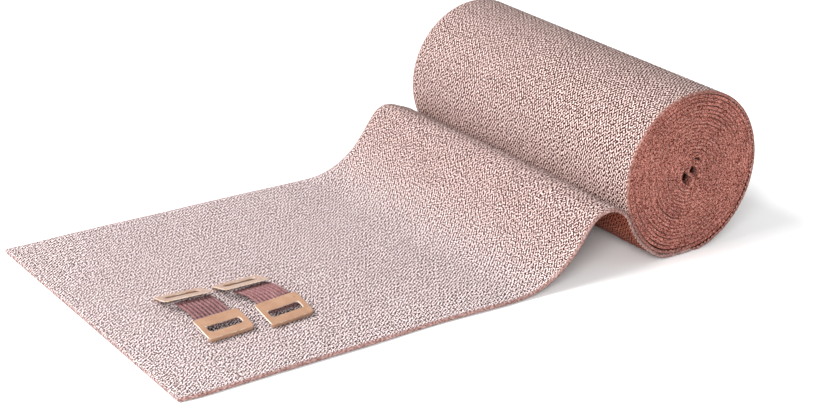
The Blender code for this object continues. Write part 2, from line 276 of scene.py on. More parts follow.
def yarnGroup():
    # speckled crepe yarn: fine grain, coarser flecks and slow drifts of tone
    group, inlet, outlet, kit = newTree("crepeYarn", "ShaderNodeTree", {
        "Vector": None, "Grain": 1600.0, "Light": (0.6, 0.3, 0.3, 1),
        "Dark": (0.3, 0.1, 0.1, 1), "Fleck": (0.8, 0.6, 0.55, 1), "Flecks": 0.3,
    }, {"Colour": "Color", "Height": "Float"})
    place = inlet["Vector"]
    grain = kit.noise(place, inlet["Grain"], 3.0, 0.75)
    fleck = kit.noise(place, kit.math("MULTIPLY", inlet["Grain"], 0.62), 1.0)
    flecked = kit.math("MULTIPLY", kit.ranged(fleck, 0.56, 0.74, smooth=True), inlet["Flecks"])
    colour = kit.blend(kit.ranged(grain, 0.44, 0.58), inlet["Dark"], inlet["Light"])
    colour = kit.blend(flecked, colour, inlet["Fleck"])
    drift = kit.ranged(kit.noise(place, 95.0, 2.0), 0.3, 0.7, 0.86, 1.12)
    kit.fill(outlet, {"Colour": kit.scaled(colour, drift), "Height": grain})
    return group


weaveNodes = weaveGroup()
yarnNodes = yarnGroup()
print("shader groups ready")


# the cloth's looks; colours as they look in the studio light
# the hollow and pit colours hold painted shade in the weave's recesses as well as the yarn's own
# red
clothLook = {
    "cellWidth": 2.353,  # mm across the width
    "flatCell": 1.51,  # mm along the length where it lies flat
    "rollCell": 1.67,  # and where it is wound
    "relief": 0.24,  # how deep the mesh pits go, mm
    "wander": (0.07, 0.09),  # how far the cells stray, in cells
    "fray": 0.16,  # how unevenly the long edges run, mm
    "frontSpan": (6.0, 42.0),  # cells from the cut end over which the pull sets in
    "tail": {
        "crown": (301, 280, 279), "hollow": (90, 60, 58), "pit": (66, 34, 30),
        "crownAway": (274, 241, 234), "away": (76.0, 100.0),  # cells from the cut end
        "deep": (1.05, 0.95), "faint": (0.0, 0.9), "cross": (0.0, -0.5), "front": (0.78, 1.15),
        "weave": {
            "Pit Fineness": 1.14, "Crowns": 0.18, "Ribs": 0.45, "Fibres": 3.2, "Streaks": 0.12},
    },
    "wound": {
        "crown": (272, 241, 234), "hollow": (90, 50, 41), "pit": (54, 22, 16),
        # crownAway is brighter and redder low on the roll's front, where the fold shades it:
        # painted light
        "crownAway": (312, 258, 244), "away": (70.0, 90.0),
        "deep": (1.0, 1.0), "faint": (0.9, 0.9), "cross": (-0.5, -0.5), "front": (1.0, 1.0),
        "weave": {
            "Pit Fineness": 1.0, "Crowns": 0.15, "Ribs": 0.4, "Fibres": 2.2, "Streaks": 0.12},
    },
    # the underside is the same cloth given darker, redder colours: painted shade
    "under": {
        "crown": (202, 94, 68), "hollow": (86, 28, 18), "pit": (44, 16, 10),
        # crownAway here is lighter further from the cut end: painted light on the underside where
        # the front light reaches it
        "crownAway": (248, 150, 122), "away": (106.0, 121.0),
        "deep": (1.0, 1.0), "faint": (0.8, 0.8), "cross": (-0.4, -0.4), "front": (1.0, 1.0),
        "weave": {
            "Pit Fineness": 0.9, "Crowns": 0.25, "Ribs": 0.3, "Fibres": 2.0, "Streaks": 0.3},
    },
    "selvedge": {"Light": (222, 180, 173), "Dark": (150, 104, 97), "Fleck": (246, 220, 214)},
    "rim": {"Light": (208, 146, 134), "Dark": (142, 88, 78), "Fleck": (234, 190, 180)},
    "face": {"Light": (250, 169, 154), "Dark": (98, 26, 12), "Fleck": (255, 222, 210)},
    # the core's yarn is made dark as painted shade deep in the eye and between the turns
    "core": {"Light": (92, 50, 45), "Dark": (48, 24, 22), "Fleck": (120, 74, 66)},
}


def yarnNode(kit, look, grain, flecks):
    place = kit.add("ShaderNodeTexCoord", output="Object")
    colours = {key: fromScreen(colour) for key, colour in look.items()}
    return kit.add(
        "ShaderNodeGroup", {"Vector": place, "Grain": grain, "Flecks": flecks, **colours},
        None, node_tree=yarnNodes).outputs


def clothMaterial(name, look, edgeLook, cellLength):
    # woven face, with the redder yarn showing where the edge attribute says selvedge
    material, shader, kit = newMaterial(name, {
        "Sheen Weight": 0.01, "Sheen Roughness": 0.6, "Specular IOR Level": 0.03})
    cells = kit.add("ShaderNodeUVMap", uv_map="weave")
    fromCut = kit.add("ShaderNodeSeparateXYZ", {0: cells}, "Y")
    # away also moves the crowns to crownAway, which on the roll and the underside is painted light
    away = kit.ranged(fromCut, *look["away"], smooth=True)
    # the pull of the fold opens the second row of pits, and the cut end isn't stretched
    deep, faint, cross = (kit.ranged(away, 0, 1, *look[key]) for key in ("deep", "faint", "cross"))
    front = kit.ranged(fromCut, *clothLook["frontSpan"], *look["front"])
    weave = kit.add("ShaderNodeGroup", {
        "Cells": cells, "Cell Width": clothLook["cellWidth"], "Cell Length": cellLength,
        "Crown": kit.blend(away, fromScreen(look["crown"]), fromScreen(look["crownAway"])),
        "Hollow": fromScreen(look["hollow"]), "Pit": fromScreen(look["pit"]),
        "Deep Pits": kit.math("MULTIPLY", deep, front), "Faint Pits": faint,
        "Cross Ribs": cross, **look["weave"],
    }, None, node_tree=weaveNodes).outputs
    yarn = yarnNode(kit, edgeLook, 1600.0, 0.6)
    edge = kit.add("ShaderNodeAttribute", output="Fac", attribute_name="edge")
    height = kit.add(
        "ShaderNodeMix", {0: edge, 2: weave["Height"], 3: yarn["Height"]}, data_type="FLOAT")
    kit.fill(shader, {
        "Base Color": kit.blend(edge, weave["Colour"], yarn["Colour"]),
        "Roughness": kit.ranged(weave["Pits"], 0, 1, 0.86, 0.98),
        "Normal": kit.bump(height, 0.55, 0.22 * mm),
    })
    return material


def yarnMaterial(name, look, grain, flecks, relief):
    material, shader, kit = newMaterial(name, {
        "Roughness": 0.95, "Sheen Weight": 0.01, "Specular IOR Level": 0.03})
    yarn = yarnNode(kit, look, grain, flecks)
    kit.fill(shader, {
        "Base Color": yarn["Colour"], "Normal": kit.bump(yarn["Height"], 0.6, relief * mm)})
    return material


tailCloth = clothMaterial(
    "tailCloth", clothLook["tail"], clothLook["selvedge"], clothLook["flatCell"])
woundCloth = clothMaterial(
    "woundCloth", clothLook["wound"], clothLook["rim"], clothLook["rollCell"])
# a darker, redder copy of the cloth for the undersides, painted shade
shadedUnderCloth = clothMaterial(
    "shadedUnderCloth", clothLook["under"], clothLook["rim"], clothLook["rollCell"])
faceYarn = yarnMaterial("faceYarn", clothLook["face"], 2300.0, 0.35, 0.2)
coreShadeYarn = yarnMaterial("coreShadeYarn", clothLook["core"], 1500.0, 0.2, 0.2)
print("cloth and yarn materials ready")


# the shape of the wound roll
roll = {
    "axisInset": 27.7,  # mm from the back to the axis
    "axisHeight": 28.2,
    "radius": 28.1,  # at the back, top and underside
    "stepAt": -84.0,  # degrees, where the outer turn runs off under the roll
    "layerStep": 1.35,  # one layer less where the outer turn has run off
    "sag": 0.6,  # how far the turns press flat on the surface
    "swell": 1.3,  # and swell over the loose end in front of it
    "swellAt": 245.0,  # degrees
    "swellReach": (24.0, 16.0),  # degrees before and after
    "pitch": 1.165,  # from turn to turn
    "layer": 1.09,  # thickness of a wound turn
    "ends": (-0.7, 0.7),  # how far the turns stand past the far and near end
    "edgeRounding": 0.45,
    "outerTurn": 348.0,  # degrees that the outermost turn goes round
    "turns": 20,
    "turnDepth": 5.0,  # how far in the single turns are modelled from each end face
    "step": 0.5,  # mm between sections of a turn
    "coreRadius": 26.4,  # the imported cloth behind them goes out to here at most
    "coreGap": 0.2,
}
rollMiddleX = (rollLow[0] + rollHigh[0]) / 2
rollAxisY = rollHigh[1] - roll["axisInset"] * mm
rollWidth = rollHigh[0] - rollLow[0]
rollEnds = (rollLow[0] / mm + roll["ends"][0], rollHigh[0] / mm + roll["ends"][1])
cellsAcross = round(rollWidth / mm / clothLook["cellWidth"])


def sag(degrees, turn):
    # the turns press flat where the roll stands and swell in front of it, less so further in
    leaving = roll["sag"] * (1.0 - smoothStep((degrees - roll["stepAt"]) / 80.0))
    coming = 0.5 * roll["sag"] * smoothStep((degrees - 250.0) / 26.0)
    fromSwell = degrees - roll["swellAt"]
    reach = np.where(fromSwell < 0, *roll["swellReach"])
    swell = roll["swell"] * np.exp(-(fromSwell / reach) ** 2)
    return (leaving + coming) * 0.5 ** turn + swell * 0.8 ** turn


def windingRadius(turned):
    # outer radius in mm of the wound cloth, after that many degrees inwards from the step
    turn = np.floor(turned / 360.0)
    degrees = turned - 360.0 * turn + roll["stepAt"]
    even = (degrees - roll["stepAt"]) / 360.0
    stepped = smoothStep((degrees - 100.0) / 150.0)
    # a turn comes in where it passes the step, and further in the turns do so evenly
    evenness = np.clip((turn - 1.0) / 6.0, 0.0, 1.0)
    comesIn = roll["layerStep"] * (stepped + (even - stepped) * evenness)
    tighter = (roll["layerStep"] - roll["pitch"]) * even
    turnsIn = (roll["layerStep"] + roll["pitch"] * (turn - 1.0) - tighter) * (turn > 0)
    return roll["radius"] - comesIn - turnsIn + sag(degrees, turn)


# the loose end's fold
foldRow = namedtuple("foldRow", "name nearLength nearTurn farLength farTurn")
edgeRow = namedtuple("edgeRow", "fromCut nearInset farInset")
fold = {
    "rows": (  # mm and degrees; the flank is as long as brings the walk back down
        foldRow("foot", 30.0, 53.5, 27.0, 53.5),
        foldRow("flank", None, 0.0, None, 0.0),
        foldRow("crest", 16.0, -106.0, 8.0, -75.0),
        foldRow("back slope", 0.5, 0.0, 7.0, 0.0),
        foldRow("shoulder", 1.5, -16.0, 8.0, -44.0),
        foldRow("roll side", 20.0, 37.5, 16.0, 34.5),
        foldRow("landing", 7.6, None, 7.7, None),
    ),
    "edges": (  # mm in from the solid's sides
        edgeRow(0.0, 0.4, 0.2),
        edgeRow(8.0, -0.3, 0.4),
        edgeRow(34.0, 0.1, 0.5),
        edgeRow(60.0, 0.2, 0.5),
        edgeRow(88.0, 1.1, 1.0),
        edgeRow(116.0, 0.0, 1.6),
        edgeRow(140.0, 0.0, 1.7),
    ),
    "columns": 25,  # sections of the fold across the width
    "stride": 0.1,  # mm between the steps of a section
    "footNear": -71.0,  # mm from the roll's axis to the foot of the hump
    "footFar": -73.0,
    "innerEnd": 2.5,  # mm past the roll's axis, where the sheet's inner end lies
    "cutSkew": 1.0,
    "softening": 2.4,  # mm over which the bends run into each other
    "thickness": 1.3,
    "ripple": 0.22,
    "stretchFrom": 100.0,  # mm from the cut end, where the cells start to grow
    "stretchOver": 70.0,
    "stretch": 0.7,  # share of the way to the size of the wound cells
}


def edgeInset(fromCut, side):
    rows = fold["edges"]
    inset = np.full_like(fromCut, getattr(rows[-1], side))
    for before, after in reversed(list(zip(rows[:-1], rows[1:]))):
        blend = smoothStep((fromCut - before.fromCut) / (after.fromCut - before.fromCut))
        low, high = getattr(before, side), getattr(after, side)
        inset = np.where(fromCut < after.fromCut, low + (high - low) * blend, inset)
    return inset


def foldSection(nearness):
    # the underside's y and z in mm, from the cut end to the inner end, at one place across
    stride = fold["stride"]

    def mixed(near, far):
        return far + (near - far) * nearness

    def walk(flankLength):
        headings, heading = [], 0.0
        for row in fold["rows"]:
            length = flankLength if row.nearLength is None else mixed(row.nearLength, row.farLength)
            turn = -heading if row.nearTurn is None else radians(mixed(row.nearTurn, row.farTurn))
            steps = max(1, round(length / stride))
            headings.append(heading + turn * ((np.arange(steps) + 0.5) / steps))
            heading += turn
        return np.concatenate(headings)

    foot = fold["rows"][0]
    rise = float(np.sin(walk(0.0)).sum() * stride)
    headings = walk(-rise / sin(radians(mixed(foot.nearTurn, foot.farTurn))))
    axis = (rollAxisY - cutEndY) / mm
    start = mixed(fold["footNear"], fold["footFar"]) + axis
    end = start + float(np.cos(headings).sum() * stride)
    cut = fold["cutSkew"] * (1.0 - nearness)
    flatSteps = round((start - cut) / stride)
    tuckSteps = max(1, round((axis + fold["innerEnd"] - end) / stride))
    headings = np.concatenate([np.zeros(flatSteps), headings, np.zeros(tuckSteps)])
    window = np.hanning(round(2 * fold["softening"] / stride) + 1)
    headings = np.convolve(headings, window / window.sum(), mode="same")
    y = cut + np.concatenate([[0.0], np.cumsum(np.cos(headings)) * stride])
    z = np.concatenate([[0.0], np.cumsum(np.sin(headings)) * stride])
    # what is left of the rise comes off over the second half, so that the end lies flat
    z = z - z[-1] * smoothStep((np.linspace(0.0, 1.0, len(z)) - 0.5) / 0.45)
    return y, np.maximum(z, 0.0)


def alongCells(length):
    # places in mm along the cloth, three to a weave cell, the cells growing towards the roll
    places, cells = [0.0], [0.0]
    longer = clothLook["rollCell"] - clothLook["flatCell"]
    while places[-1] < length:
        grown = smoothStep((places[-1] - fold["stretchFrom"]) / fold["stretchOver"])
        cell = clothLook["flatCell"] + longer * fold["stretch"] * grown
        places.append(places[-1] + cell / 3)
        cells.append(cells[-1] + 1 / 3)
    return np.array(places) * (length / places[-1]), np.array(cells)


def wanderedCells(cellsU, cellsV):
    # the weave strays a little from its grid, each way, over a cell or two
    def stray(seed, size):
        x, y = cellsU / size, cellsV / size
        lowX, lowY = np.floor(x), np.floor(y)
        rows = []
        for down in (0, 1):
            before = hashNumbers(lowX, lowY + down, seed)
            after = hashNumbers(lowX + 1, lowY + down, seed)
            rows.append(before + (after - before) * smoothStep(x - lowX))
        return 2.0 * (rows[0] + (rows[1] - rows[0]) * smoothStep(y - lowY)) - 1.0
    across, along = clothLook["wander"]
    movedU = cellsU + across * (stray(17, 1.37) + 0.5 * stray(23, 4.1))
    movedV = cellsV + along * (stray(31, 1.61) + 0.5 * stray(41, 5.3))
    return movedU, movedV


def weaveRelief(cellsU, cellsV):
    # height in mm of the cloth's face at each place, with its two rows of pits
    def oval(u, v, lean, longHalf, shortHalf):
        x = (u - np.round(u)) * clothLook["cellWidth"]
        y = (v - np.round(v)) * clothLook["flatCell"]
        along = x * cos(lean) + y * sin(lean)
        aside = -x * sin(lean) + y * cos(lean)
        reach = np.sqrt((along / longHalf) ** 2 + (aside / shortHalf) ** 2)
        return smoothStep((1.5 - reach) / 1.2)

    deep = oval(cellsU, cellsV, radians(-50), 0.7, 0.42)
    faint = oval(cellsU + 0.5, cellsV + 0.5, radians(48), 0.75, 0.35)
    vary = 0.65 + 0.35 * hashNumbers(np.round(cellsU), np.round(cellsV), 3)
    return -clothLook["relief"] * (deep * vary + 0.45 * faint)


def clothSection():
    # places round the cloth's section: share across, share through, bulge and edge share;
    # and the places round each cell, which close the cut ends
    top = np.arange(cellsAcross * 3 + 1) / (cellsAcross * 3)
    matted = np.zeros(len(top))
    matted[[0, -1]] = 0.6
    side = [(s, roll["edgeRounding"] * sin(pi * s)) for s in (0.22, 0.5, 0.78)]
    places = [(share, 1.0, 0.0, woven) for share, woven in zip(top, matted)]
    places += [(1.0, 1.0 - s, out, 1.0) for s, out in side]
    places += [(share, 0.0, 0.0, 0.0) for share in np.arange(cellsAcross + 1)[::-1] / cellsAcross]
    places += [(0.0, s, -out, 1.0) for s, out in side]
    lowerStart = len(top) + len(side)
    lowerEnd = lowerStart + cellsAcross
    runs = []
    for cell in range(cellsAcross):
        upper = [cell * 3 + step for step in range(4)]
        runs.append(upper + [lowerEnd - cell - 1, lowerEnd - cell])
    runs.append(list(range(len(top) - 1, lowerStart + 1)))
    runs.append(list(range(lowerEnd, len(places))) + [0])
    return np.array(places), runs


sectionPlaces, sectionRuns = clothSection()


def makeCloth(name, node, base, normal, cellsV, thickness, material):
    # base and normal give the underside and the way up, in mm, at each row and place round it
    across, through, bulge, edge = sectionPlaces.T
    rows, around = base.shape[:2]
    fromEnd = np.minimum(np.arange(rows), np.arange(rows)[::-1])[:, None]
    edges = np.maximum(edge, 0.5 - 0.35 * fromEnd)  # the yarn is matted along the cut ends too
    cellsRows = np.tile(cellsV[:, None], (1, around))
    movedU, movedV = wanderedCells(np.tile(across * cellsAcross, (rows, 1)), cellsRows)
    isTop, isLower = (through == 1.0) * (bulge == 0.0), through == 0.0
    nearEdge = np.minimum(across, 1.0 - across) * rollWidth / mm
    upper = weaveRelief(movedU, movedV) * isTop
    upper = upper * smoothStep(nearEdge / 1.2) * smoothStep(fromEnd / 3.0)
    lower = weaveRelief(movedU + 0.5, movedV) * -0.5 * isLower
    # the cut ends are a little thinner, as pressed edges are
    thick = np.full((rows, 1), thickness)
    for row, share in ((0, 0.45), (1, 0.8), (-2, 0.8), (-1, 0.45)):
        thick[row] *= share
    lift = (thickness - thick) / 2 + thick * through + upper + lower
    points = base + normal * lift[..., None]
    points[..., 0] += bulge * thick / thickness
    wobble = (hashNumbers(cellsRows * 3, np.round(across * 9), 5) - 0.5) * clothLook["fray"]
    points[..., 0] += wobble * (edge == 1.0)
    uvs = np.stack([movedU + bulge / clothLook["cellWidth"], movedV], axis=-1).reshape(-1, 2)

    index = np.arange(rows * around).reshape(rows, around)
    quads = ringQuads(index)
    skin = quads.tolist()
    skin += [index[0, run][::-1].tolist() for run in sectionRuns]
    skin += [index[-1, run].tolist() for run in sectionRuns]
    mesh = newMesh(name, (points.reshape(-1, 3) * mm).tolist(), skin, material, shadedUnderCloth)
    # faces on the underside take the darker copy of the cloth, painted shade
    lowerFaces = np.zeros(len(skin), dtype=np.int32)
    lowerFaces[:len(quads)] = np.tile(isLower & np.roll(isLower, -1), rows - 1)
    mesh.polygons.foreach_set("material_index", lowerFaces)
    corners = np.empty(len(mesh.loops), dtype=np.int32)
    mesh.loops.foreach_get("vertex_index", corners)
    layer = mesh.uv_layers.new(name="weave")
    layer.data.foreach_set("uv", uvs[corners].astype(np.float32).ravel())
    share = mesh.attributes.new("edge", "FLOAT", "POINT")
    share.data.foreach_set("value", edges.astype(np.float32).ravel())
    mesh.shade_smooth()
    mesh.update()
    return addPiece(mesh, node)


def makeTail():
    # stands the fold sections side by side across the width
    columns = fold["columns"]
    sections = [foldSection(column / (columns - 1)) for column in range(columns)]
    walks = [pathLength(y, z) for y, z in sections]
    length = float(np.mean([walk[-1] for walk in walks]))
    rowPlaces, cellsV = alongCells(length)
    grid = np.zeros((columns, len(rowPlaces), 2))
    for column, ((y, z), walk) in enumerate(zip(sections, walks)):
        wanted = rowPlaces / length * walk[-1]
        grid[column, :, 0] = np.interp(wanted, walk, y)
        grid[column, :, 1] = np.interp(wanted, walk, z)
    across = sectionPlaces[:, 0]
    position = across * (columns - 1)
    low = np.minimum(position.astype(int), columns - 2)
    blend = (position - low)[:, None, None]
    section = (grid[low] * (1.0 - blend) + grid[low + 1] * blend).transpose(1, 0, 2)
    fromCut, z = section[..., 0], section[..., 1]
    nearX = tailHigh[0] / mm - edgeInset(fromCut, "nearInset")
    farX = tailLow[0] / mm + edgeInset(fromCut, "farInset")
    x = farX + (nearX - farX) * across
    # slow ripples where the cloth lies loose, never below the surface
    loose = smoothStep((fromCut - 4.0) / 20.0) * smoothStep((150.0 - fromCut) / 20.0)
    ripple = np.sin(fromCut / 9.0 + x / 31.0) * np.sin(x / 17.0 - fromCut / 40.0)
    z = z + fold["ripple"] * loose * (0.5 + 0.5 * ripple)
    y = fromCut + cutEndY / mm
    rightY, rightZ = rightOf(y, z)
    base = np.stack([x, y, z], axis=-1)
    normal = np.stack([np.zeros_like(x), -rightY, -rightZ], axis=-1)
    tail = makeCloth(
        "bandageTail", "loose_end", base, normal, cellsV, fold["thickness"], tailCloth)
    print("loose end:", round(length, 1), "mm long")


def makeWrap():
    # the outermost turn, from the step under the roll once round to where the tail slips under it
    turned = np.linspace(0.0, roll["outerTurn"], 2000)
    radius = windingRadius(turned) - roll["layer"]
    angle = np.radians(turned + roll["stepAt"])
    y = radius * np.cos(angle)
    z = np.maximum(radius * np.sin(angle), -roll["axisHeight"] + roll["layer"])
    length = pathLength(y, z)
    cells = int(ceil(length[-1] / clothLook["rollCell"]))
    cellsV = np.arange(cells * 3 + 1) / 3
    wanted = cellsV / cells * length[-1]
    rowY, rowZ = np.interp(wanted, length, y), np.interp(wanted, length, z)
    across = sectionPlaces[:, 0]
    inset = roll["edgeRounding"] + 0.1
    farX, nearX = rollEnds[0] + inset, rollEnds[1] - inset
    base = np.zeros((len(wanted), len(across), 3))
    base[..., 0] = farX + (nearX - farX) * across
    base[..., 1] = (rollAxisY / mm + rowY)[:, None]
    base[..., 2] = (roll["axisHeight"] + rowZ)[:, None]
    normal = np.zeros_like(base)
    for axis, part in enumerate(rightOf(rowY, rowZ), 1):
        normal[..., axis] = part[:, None]
    makeCloth("bandageWrap", "wound_roll", base, normal, cellsV, roll["layer"], woundCloth)


makeTail()
makeWrap()


# the turns that show on the end faces
faces = {
    "lift": 0.26,  # mm a turn's edge stands out from the next, or in
    "bead": 0.17,  # the loops of weft along each edge
    "beadLength": 1.5,
    "grain": 0.12,
    "inset": 0.35,  # how far in the edges stand all together
    "part": 0.15,  # how unevenly the turns press on each other
    "partLength": 47.0,  # degrees
    "gaps": (  # turn, degrees, mm
        (18, 58.0, 0.9), (17, 12.0, 0.4), (2, 205.0, 0.3), (11, -20.0, 0.25)),
    "gapReach": 20.0,  # degrees
    "firstTurned": 344.0,  # degrees from the step, just inside the outermost turn's end
    "eyeShift": (0.0, -0.5),
    "eyeTurn": 74.0,  # degrees, where the innermost end starts across the eye
}


def turnPath(seed):
    # the middle of the cloth from the second turn to the eye, in mm in the plane of the end face
    firstTurned = faces["firstTurned"]
    lastTurned = 360.0 * roll["turns"] + faces["eyeTurn"] - roll["stepAt"]
    turned = np.linspace(firstTurned, lastTurned, 40000)
    radius = windingRadius(turned) - roll["layer"] / 2
    radius = radius + faces["part"] * slowNoise(turned / faces["partLength"], seed)
    for turn, degrees, push in faces["gaps"]:
        fromGap = turned - 360.0 * turn - degrees + roll["stepAt"]
        radius = radius + push * np.exp(-(fromGap / faces["gapReach"]) ** 2)
    inward = smoothStep((turned - firstTurned) / (lastTurned - firstTurned))
    angle = np.radians(turned + roll["stepAt"])
    shiftY, shiftZ = faces["eyeShift"]
    y = radius * np.cos(angle) + shiftY * inward
    z = radius * np.sin(angle) + shiftZ * inward
    # across the eye in an S of two half circles
    endY, endZ = y[-1] - shiftY, z[-1] - shiftZ
    reach = np.hypot(endY, endZ) / 2
    start = np.arctan2(endZ, endY)
    half = np.linspace(0.0, pi, 60)[1:]
    for side, around in ((1, start + half), (-1, start - half * 0.86)):
        y = np.append(y, side * endY / 2 + reach * np.cos(around) + shiftY)
        z = np.append(z, side * endZ / 2 + reach * np.sin(around) + shiftZ)
    length = pathLength(y, z)
    wanted = np.arange(0.0, length[-1], roll["step"])
    return np.interp(wanted, length, y), np.interp(wanted, length, z), wanted


def makeTurns(name, side, seed):
    y, z, along = turnPath(seed)
    outY, outZ = rightOf(y, z)
    wander = slowNoise(along / 23.0, seed + 1) * 0.7 + slowNoise(along / 6.0, seed + 2) * 0.3
    bead = faces["bead"] * np.cos(tau * along / faces["beadLength"])
    chance = hashNumbers(np.round(along * 2), np.zeros_like(along), seed + 3)
    grain = faces["grain"] * (chance - 0.5)
    proud = faces["lift"] * wander + bead + grain - faces["inset"]
    # the edges are matted together at the top and stand apart lower down
    apart = 0.3 + 0.4 * smoothStep(0.7 - z / np.maximum(np.hypot(y, z), 4.0))
    swell = 1.0 + 0.08 * np.cos(tau * along / faces["beadLength"] + 1.2)
    # half of the section: depth from the face and share of half the thickness
    section = [(roll["turnDepth"], 1.0), (0.5, 1.0), (0.13, 0.76), (0.0, 0.3)]
    section += [(depth, -share) for depth, share in reversed(section)]
    points = np.zeros((len(y), len(section), 3))
    for place, (depth, share) in enumerate(section):
        inward = depth if depth >= roll["turnDepth"] else depth * apart - proud
        points[:, place, 0] = rollEnds[1 if side > 0 else 0] - side * inward
        points[:, place, 1] = rollAxisY / mm + y + outY * (roll["layer"] / 2) * share * swell
        points[:, place, 2] = roll["axisHeight"] + z + outZ * (roll["layer"] / 2) * share * swell
    mesh = tubeMesh(name, points, side < 0, faceYarn)
    mesh.shade_smooth()
    mesh.update()
    addPiece(mesh, "wound_roll")


def makeCore():
    # the imported cloth behind the turns, closed all round, in dark yarn that is painted shade
    turned = np.linspace(360.0, 720.0, 145)[:-1]
    radius = np.minimum(windingRadius(turned), roll["coreRadius"]) - roll["coreGap"]
    angle = np.radians(turned - 360.0 + roll["stepAt"])
    reach = roll["turnDepth"] - 0.4
    points = np.zeros((2, len(angle), 3))
    points[0, :, 0] = rollLow[0] / mm + reach
    points[1, :, 0] = rollHigh[0] / mm - reach
    points[..., 1] = rollAxisY / mm + radius * np.cos(angle)
    points[..., 2] = roll["axisHeight"] + radius * np.sin(angle)
    addPiece(tubeMesh("rollCore", points, True, coreShadeYarn), "wound_roll")


makeTurns("woundTurnsNear", 1, 11)
makeTurns("woundTurnsFar", -1, 29)
makeCore()


# the two clips: stamped plates and corded elastic
plateRow = namedtuple("plateRow", "node side middleX fromCut turn outerTop innerTop")
clip = {
    "plates": (  # mm, and degrees turned; the tops' heights at the outer and inner edge
        plateRow("clip_a_front_plate", 1, 31.1, 31.4, 3.0, 3.1, 5.3),
        plateRow("clip_a_rear_plate", -1, 7.1, 30.4, -4.5, 3.1, 5.8),
        plateRow("clip_b_front_plate", 1, 32.9, 51.4, 6.0, 3.1, 6.3),
        plateRow("clip_b_rear_plate", -1, 9.2, 49.8, -1.0, 3.1, 5.8),
    ),
    "length": 10.0,
    "width": 15.8,
    "corner": 1.1,
    "sheet": 0.42,  # thickness of the stamped metal
    "slot": (3.1, 11.9, 1.0, 0.55),  # length, width, corner and how far out of the middle
    "slotRings": ((0.10, 0.42), (0.09, 0.2), (0.0, 0.05)),  # how far in and down the rim goes
    "topRings": (0.06, 0.2, 0.4, 0.6, 0.8, 0.94),  # share of the way out to the edge
    "lip": 1.0,  # how far the outer edge is turned down
    "rolled": 0.34,  # and the other edges
    "edgeRings": (  # how far out, how far down of 0.3 and share of the lip
        (0.0, 0.04, 0.0), (0.12, 0.16, 0.05), (0.14, 0.26, 0.55), (0.14, 0.3, 1.0)),
    "prong": {"length": 1.9, "thick": 0.6, "bend": 70.0, "fromSide": 1.1, "fromEnd": 0.25},
    # the pale colour is a painted highlight along the edges and the slot's rim
    "lacquer": {"base": (232, 186, 152), "deep": (190, 136, 102), "edgeHighlight": (255, 244, 230)},
}


def roundedLoop(length, width, corner, shift):
    # the same count of points on each side and corner, so that loops can be joined
    def onCorner(quarter, degrees):
        signU, signV = ((1, 1), (-1, 1), (-1, -1), (1, -1))[quarter % 4]
        middle = Vector((signU * (length / 2 - corner) + shift, signV * (width / 2 - corner)))
        angle = radians(90.0 * quarter + degrees)
        return middle + Vector((cos(angle), sin(angle))) * corner

    points = []
    for quarter, count in enumerate((10, 16, 10, 16)):
        points += [onCorner(quarter, 90.0 * step / 5) for step in range(6)]
        last, first = points[-1], onCorner(quarter + 1, 0.0)
        points += [last.lerp(first, step / count) for step in range(1, count)]
    return points


def platePoints():
    # rings of a point and its drop, from inside the slot out to the turned-down edge
    slotLength, slotWidth, slotCorner, shift = clip["slot"]
    outer = roundedLoop(clip["length"], clip["width"], clip["corner"], 0.0)
    slot = roundedLoop(slotLength, slotWidth, slotCorner, shift)
    slotMiddle = Vector((shift, 0.0))
    rings = [
        [(p + (slotMiddle - p).normalized() * inset, drop) for p in slot]
        for inset, drop in clip["slotRings"]]
    for share in clip["topRings"]:
        rings.append([(a.lerp(b, share), 0.0) for a, b in zip(slot, outer)])
    for outset, drop, lipShare in clip["edgeRings"]:
        ring = []
        for p in outer:
            outerSide = float(smoothStep((p.x - clip["length"] / 2 + 1.0) / 0.7))
            down = clip["rolled"] / 0.3 * drop + clip["lip"] * lipShare * outerSide
            ring.append((p + p.normalized() * outset, down))
        rings.append(ring)
    return rings


def plateSheet():
    # the stamped shape, thickened and softened by modifiers
    rings = platePoints()
    points = [(p.x * mm, p.y * mm, -drop * mm) for ring in rings for p, drop in ring]
    index = np.arange(len(points)).reshape(len(rings), -1)
    beside = np.roll(index, -1, axis=1)
    quads = np.stack([index[:-1], index[1:], beside[1:], beside[:-1]], axis=-1)
    sheet = addObject("plateSheet", newMesh("plateSheet", points, quads.reshape(-1, 4).tolist()))
    metal = sheet.modifiers.new("metal", "SOLIDIFY")
    metal.thickness = clip["sheet"] * mm
    metal.offset = -1.0
    metal.use_even_offset = True
    bevel = sheet.modifiers.new("softened", "BEVEL")
    bevel.width = 0.07 * mm
    bevel.segments = 2
    bevel.limit_method = "ANGLE"
    bevel.angle_limit = radians(50)
    made = sheet.evaluated_get(bpy.context.evaluated_depsgraph_get())
    mesh = bpy.data.meshes.new_from_object(made)
    bpy.data.objects.remove(sheet)
    return mesh


def addProng(bm, u, v):
    # a curved tapering tooth, from inside the lip down and back under the plate
    prong = clip["prong"]
    rings = []
    steps, around = 9, 8
    for step in range(steps + 1):
        share = step / steps
        bend = radians(prong["bend"]) * share ** 1.6
        back = 0.45 * prong["length"] * share ** 2.2
        down = 0.3 + prong["length"] * (share - 0.18 * share ** 3)
        centre = Vector((u - back, v, -down))
        radius = prong["thick"] * (1.0 - share) ** 0.65 * 0.5 + 0.04
        ring = []
        for place in range(around):
            angle = tau * place / around
            through, aside = cos(angle) * radius * 0.55, sin(angle) * radius * 1.7
            offset = Vector((through * cos(bend), aside, -through * sin(bend)))
            ring.append(bm.verts.new((centre + offset) * mm))
        rings.append(ring)
    for lower, upper in zip(rings[:-1], rings[1:]):
        for place in range(around):
            beside = (place + 1) % around
            bm.faces.new((lower[place], upper[place], upper[beside], lower[beside]))
    bm.faces.new(rings[0])
    bm.faces.new(tuple(reversed(rings[-1])))


